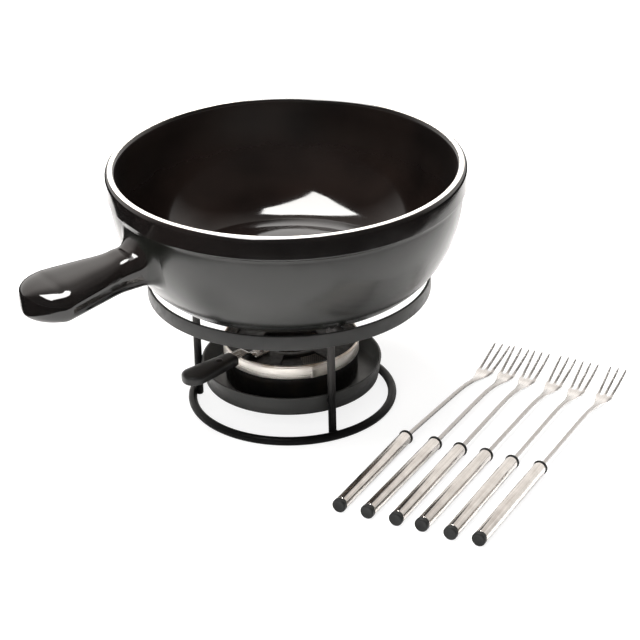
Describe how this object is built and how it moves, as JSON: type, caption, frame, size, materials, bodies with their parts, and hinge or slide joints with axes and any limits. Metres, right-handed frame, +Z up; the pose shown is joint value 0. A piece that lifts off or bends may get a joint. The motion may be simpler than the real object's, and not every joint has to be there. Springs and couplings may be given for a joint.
{
  "type": "fondue pot set",
  "caption": "Glazed fondue pot with a stick handle on a wire stand, with a spirit burner and its regulator lever below and long three-pronged forks lying beside it.",
  "frame": {"origin": "middle of the whole set's footprint, on the table it stands on", "axes": "+Z up; +X to the right of somebody facing the set with the pot's handle at their left, along the set's longest extent; +Y away from them"},
  "size_m": [0.4042, 0.3259, 0.1759],
  "materials": {
    "glaze": "glossy black-brown glaze over stoneware",
    "stand_paint": "satin black paint on steel wire and strip",
    "tray_enamel": "satin black paint on spun sheet",
    "burner_black": "black paint on drawn steel",
    "collar_steel": "polished stainless steel",
    "rivet_steel": "plain steel",
    "gauze": "woven steel gauze",
    "mineral_wool": "pressed fibre wad",
    "phenolic": "moulded black phenolic",
    "fork_steel": "polished stainless steel",
    "fork_plastic": "charcoal moulded plastic"
  },
  "bodies": {
    "stand": {"top_band": "stand_paint", "upright_1": "stand_paint", "upright_2": "stand_paint", "upright_3": "stand_paint", "base_ring": "stand_paint", "burner_tray": "tray_enamel"},
    "pot": {"pot": "glaze"},
    "burner": {"burner_cup": "burner_black", "absorbent_pad": "mineral_wool", "burner_gauze": "gauze", "burner_collar": "collar_steel"},
    "regulator": {"regulator_plate": "burner_black", "lever_strip": "collar_steel", "plate_rivet_1": "rivet_steel", "plate_rivet_2": "rivet_steel", "lever_grip": "phenolic", "grip_rivet": "phenolic"},
    "fork_1": {"fork_1_prongs": "fork_steel", "fork_1_handle": "fork_steel", "fork_1_neck_plug": "fork_plastic", "fork_1_end_cap": "fork_plastic"},
    "fork_2": {"fork_2_prongs": "fork_steel", "fork_2_handle": "fork_steel", "fork_2_neck_plug": "fork_plastic", "fork_2_end_cap": "fork_plastic"},
    "fork_3": {"fork_3_prongs": "fork_steel", "fork_3_handle": "fork_steel", "fork_3_neck_plug": "fork_plastic", "fork_3_end_cap": "fork_plastic"},
    "fork_4": {"fork_4_prongs": "fork_steel", "fork_4_handle": "fork_steel", "fork_4_neck_plug": "fork_plastic", "fork_4_end_cap": "fork_plastic"},
    "fork_5": {"fork_5_prongs": "fork_steel", "fork_5_handle": "fork_steel", "fork_5_neck_plug": "fork_plastic", "fork_5_end_cap": "fork_plastic"},
    "fork_6": {"fork_6_prongs": "fork_steel", "fork_6_handle": "fork_steel", "fork_6_neck_plug": "fork_plastic", "fork_6_end_cap": "fork_plastic"}
  },
  "joints": [
    {"name": "pot_lift", "type": "slide", "parent": "stand", "child": "pot", "axis": [0, 0, 1], "range_m": [0, 0.08]},
    {"name": "burner_lift", "type": "slide", "parent": "stand", "child": "burner", "axis": [0, 0, 1], "range_m": [0, 0.018]},
    {"name": "regulator_turn", "type": "hinge", "parent": "burner", "child": "regulator", "pos_m": [-0.0298, 0.043, 0.0439], "axis": [0, 0, 1], "range_deg": [-35, 25]},
    {"name": "fork_1_lift", "type": "slide", "parent": "stand", "child": "fork_1", "axis": [0, 0, 1], "range_m": [0, 0.05]},
    {"name": "fork_2_lift", "type": "slide", "parent": "stand", "child": "fork_2", "axis": [0, 0, 1], "range_m": [0, 0.05]},
    {"name": "fork_3_lift", "type": "slide", "parent": "stand", "child": "fork_3", "axis": [0, 0, 1], "range_m": [0, 0.05]},
    {"name": "fork_4_lift", "type": "slide", "parent": "stand", "child": "fork_4", "axis": [0, 0, 1], "range_m": [0, 0.05]},
    {"name": "fork_5_lift", "type": "slide", "parent": "stand", "child": "fork_5", "axis": [0, 0, 1], "range_m": [0, 0.05]},
    {"name": "fork_6_lift", "type": "slide", "parent": "stand", "child": "fork_6", "axis": [0, 0, 1], "range_m": [0, 0.05]}
  ]
}
